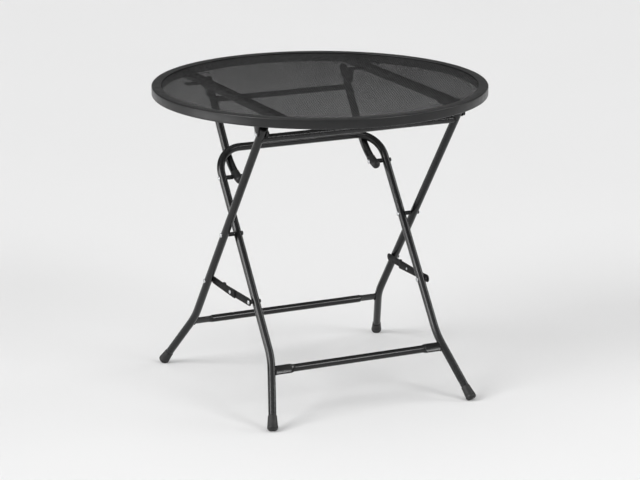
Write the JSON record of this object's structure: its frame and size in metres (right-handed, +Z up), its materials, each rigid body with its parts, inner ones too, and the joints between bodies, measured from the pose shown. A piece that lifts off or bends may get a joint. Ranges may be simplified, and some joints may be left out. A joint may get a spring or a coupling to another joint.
{
  "type": "folding side table",
  "caption": "Round mesh-top folding side table on crossed steel-tube legs, with support arms under the top and folding stays on the legs.",
  "frame": {"origin": "on the floor under the middle of the round top", "axes": "+X along the cross bars, +Y from the front of the top to the back, where the support arms are, +Z up"},
  "size_m": [0.762, 0.762, 0.7065],
  "materials": {
    "frame_paint": "satin charcoal-black powder coat with a fine texture",
    "mesh_paint": "satin charcoal-black powder coat on expanded metal mesh",
    "foot_rubber": "matt black moulded rubber",
    "end_cap_plastic": "satin black moulded plastic",
    "zinc_hardware": "bright zinc-plated steel",
    "dark_hardware": "dark oxide steel"
  },
  "bodies": {
    "outer_legs": {"outer_leg_left": "frame_paint", "outer_leg_right": "frame_paint", "outer_top_bar": "frame_paint", "outer_lower_bar": "frame_paint", "foot_outer_left": "foot_rubber", "foot_outer_right": "foot_rubber", "cross_bolt_left": "zinc_hardware", "cross_bolt_right": "zinc_hardware", "cross_nut_left": "dark_hardware", "cross_nut_right": "dark_hardware", "cross_spacer_left": "zinc_hardware", "cross_spacer_right": "zinc_hardware", "outer_stay_rivet_left": "zinc_hardware", "outer_stay_rivet_right": "zinc_hardware"},
    "inner_legs": {"inner_frame": "frame_paint", "inner_lower_bar": "frame_paint", "foot_inner_left": "foot_rubber", "foot_inner_right": "foot_rubber", "arm_bolt_left": "zinc_hardware", "arm_bolt_right": "zinc_hardware", "arm_nut_left": "dark_hardware", "arm_nut_right": "dark_hardware", "arm_spacer_left": "zinc_hardware", "arm_spacer_right": "zinc_hardware", "inner_stay_rivet_left": "zinc_hardware", "inner_stay_rivet_right": "zinc_hardware"},
    "arms": {"arm_left": "frame_paint", "arm_right": "frame_paint", "arm_cross_bar": "frame_paint", "arm_cap_left": "end_cap_plastic", "arm_cap_right": "end_cap_plastic", "rear_bolt_left": "zinc_hardware", "rear_bolt_right": "zinc_hardware", "rear_nut_left": "dark_hardware", "rear_nut_right": "dark_hardware"},
    "table_top": {"rim": "frame_paint", "mesh_panel": "mesh_paint", "rail_left": "frame_paint", "rail_right": "frame_paint", "front_bracket_left": "frame_paint", "front_bracket_right": "frame_paint", "rear_bracket_left": "frame_paint", "rear_bracket_right": "frame_paint", "front_bolt_left": "zinc_hardware", "front_bolt_right": "zinc_hardware", "front_nut_left": "dark_hardware", "front_nut_right": "dark_hardware"},
    "stay_outer_left": {"stay_outer_link_left": "frame_paint", "stay_rivet_outer_left": "zinc_hardware"},
    "stay_outer_right": {"stay_outer_link_right": "frame_paint", "stay_rivet_outer_right": "zinc_hardware"},
    "stay_inner_left": {"stay_inner_link_left": "frame_paint", "stay_rivet_inner_left": "zinc_hardware"},
    "stay_inner_right": {"stay_inner_link_right": "frame_paint", "stay_rivet_inner_right": "zinc_hardware"}
  },
  "joints": [
    {"name": "leg_fold", "type": "hinge", "parent": "outer_legs", "child": "inner_legs", "pos_m": [0, -0.005, 0.3785], "axis": [1, 0, 0], "range_deg": [0, 68]},
    {"name": "arm_swing", "type": "hinge", "parent": "inner_legs", "child": "arms", "pos_m": [0, 0.0778, 0.4889], "axis": [1, 0, 0], "range_deg": [-160, 0]},
    {"name": "top_tilt", "type": "hinge", "parent": "arms", "child": "table_top", "pos_m": [0, 0.222, 0.662], "axis": [1, 0, 0], "range_deg": [0, 46]},
    {"name": "stay_outer_fold_left", "type": "hinge", "parent": "outer_legs", "child": "stay_outer_left", "pos_m": [-0.223, 0.09475, 0.2455], "axis": [1, 0, 0], "range_deg": [-53, 0]},
    {"name": "stay_inner_fold_left", "type": "hinge", "parent": "inner_legs", "child": "stay_inner_left", "pos_m": [-0.223, -0.1049, 0.2453], "axis": [1, 0, 0], "range_deg": [0, 53]},
    {"name": "stay_outer_fold_right", "type": "hinge", "parent": "outer_legs", "child": "stay_outer_right", "pos_m": [0.223, 0.09475, 0.2455], "axis": [1, 0, 0], "range_deg": [-53, 0]},
    {"name": "stay_inner_fold_right", "type": "hinge", "parent": "inner_legs", "child": "stay_inner_right", "pos_m": [0.223, -0.1049, 0.2453], "axis": [1, 0, 0], "range_deg": [0, 53]}
  ],
  "couplings": [
    {"joint": "arm_swing", "follows": "leg_fold", "ratio": -2.35},
    {"joint": "top_tilt", "follows": "leg_fold", "ratio": 0.67432},
    {"joint": "stay_outer_fold_left", "follows": "leg_fold", "ratio": -0.7735},
    {"joint": "stay_inner_fold_left", "follows": "leg_fold", "ratio": 0.7735},
    {"joint": "stay_outer_fold_right", "follows": "leg_fold", "ratio": -0.7735},
    {"joint": "stay_inner_fold_right", "follows": "leg_fold", "ratio": 0.7735}
  ]
}
